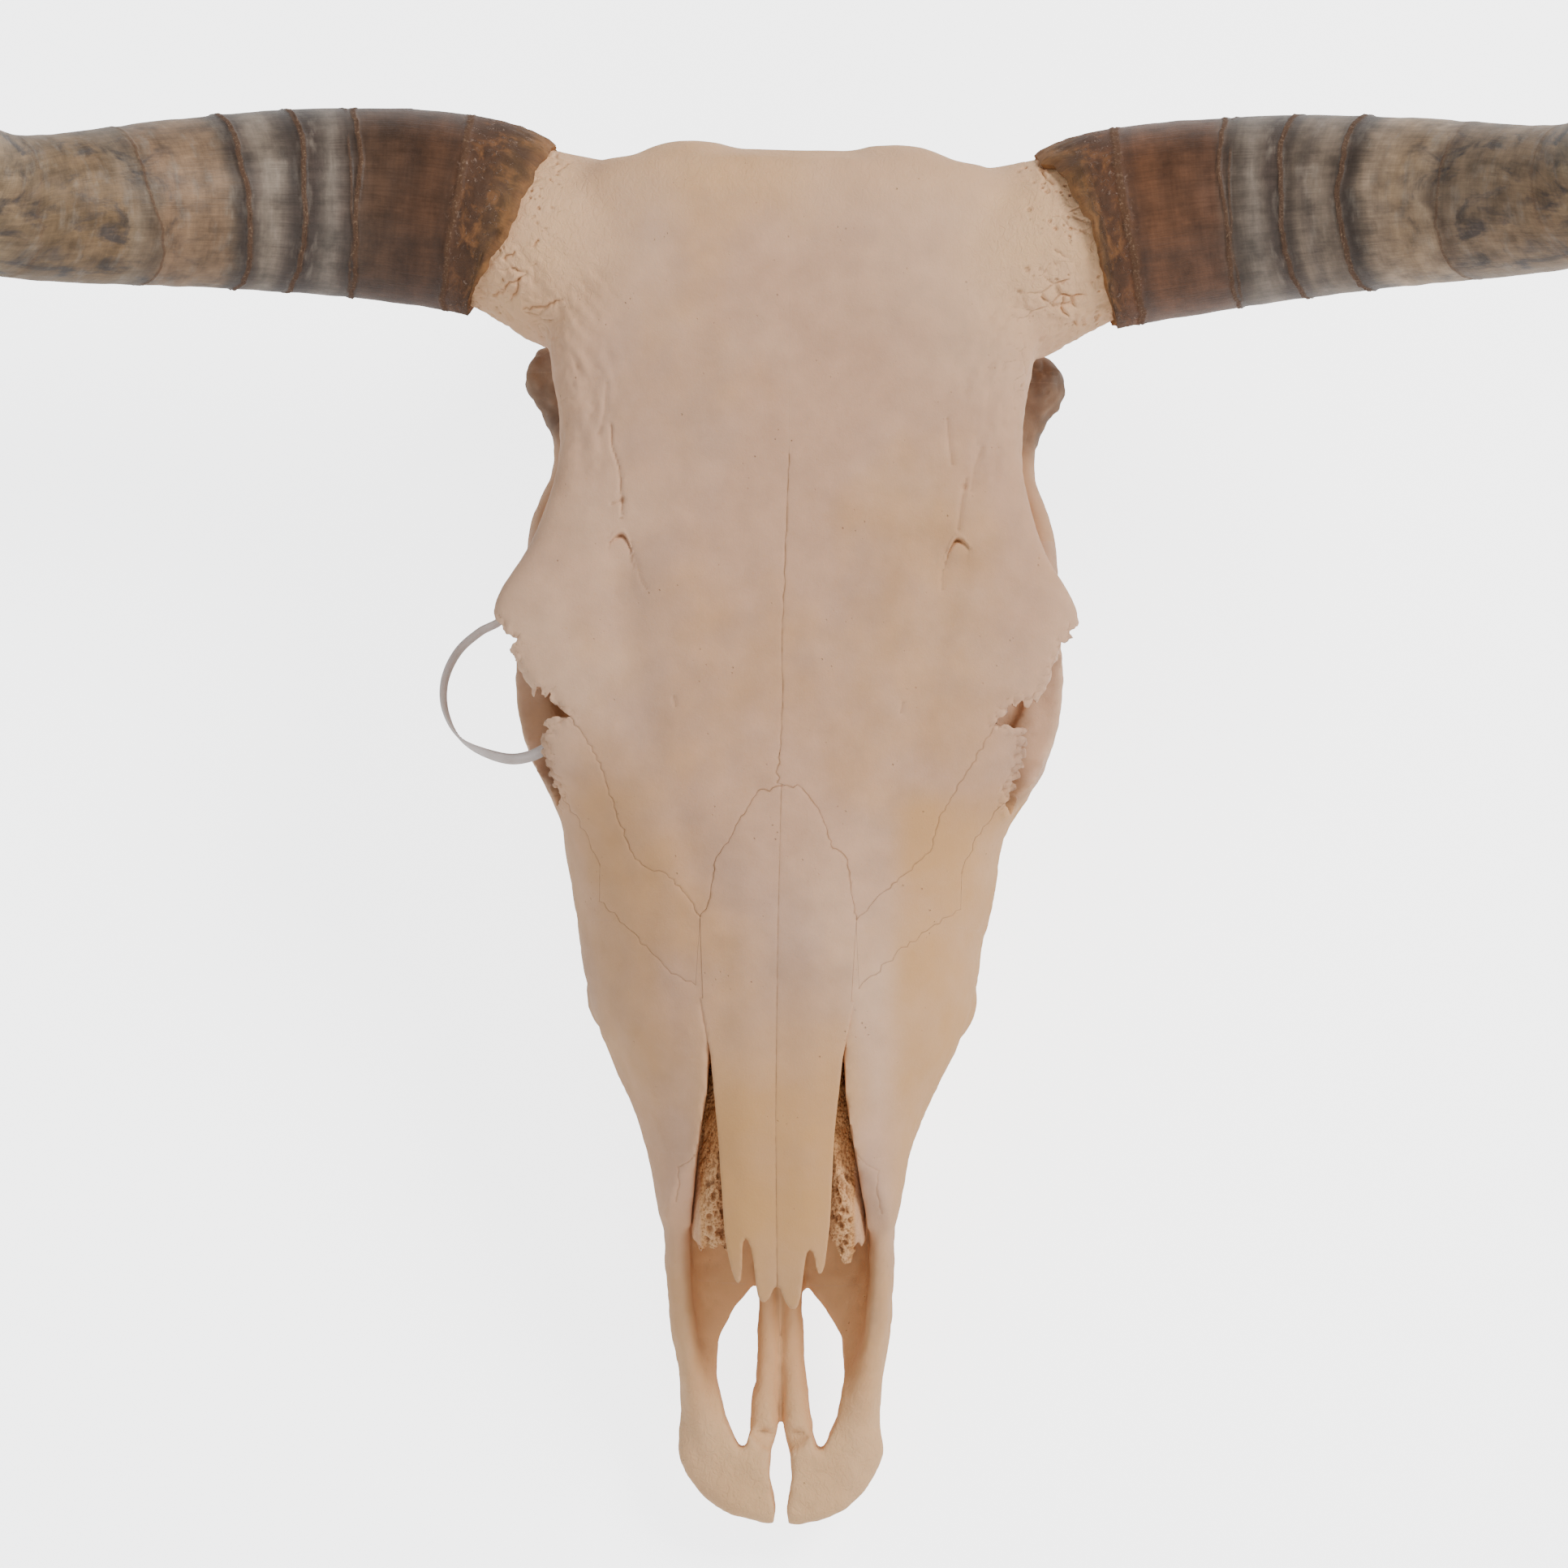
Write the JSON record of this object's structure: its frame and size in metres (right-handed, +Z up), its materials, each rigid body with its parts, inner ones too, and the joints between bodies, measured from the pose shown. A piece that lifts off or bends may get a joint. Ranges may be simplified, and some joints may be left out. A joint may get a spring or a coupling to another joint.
{
  "type": "bull skull",
  "caption": "Life-size bull skull with long upswept horn sheaths, without lower jaw, lying face up on its cheek teeth; a plastic cable tie loops through an eye socket.",
  "frame": {"origin": "middle of the skull's box, on the floor that it lies on", "axes": "+X across the head towards the horn on the right of a viewer who faces it, +Y from the nose towards the poll, +Z up"},
  "size_m": [0.7391, 0.6734, 0.5696],
  "materials": {
    "bone": "dry, matt, weathered bone",
    "spongy_bone": "rough, stained spongy bone",
    "horn": "banded horn, worn smooth, with a soft sheen",
    "tie_plastic": "pale, slightly see-through plastic"
  },
  "bodies": {
    "root": {"braincase": "bone", "frontal_bone_left": "bone", "frontal_bone_right": "bone", "lacrimal_bone_left": "bone", "lacrimal_bone_right": "bone", "cheekbone_left": "bone", "cheekbone_right": "bone", "upper_jaw_left": "bone", "upper_jaw_right": "bone", "premaxilla_left": "bone", "premaxilla_right": "bone", "nasal_bone_left": "bone", "nasal_bone_right": "bone", "turbinate_left": "spongy_bone", "turbinate_right": "spongy_bone", "horn_left": "horn", "horn_right": "horn", "cable_tie": "tie_plastic"}
  },
  "joints": []
}
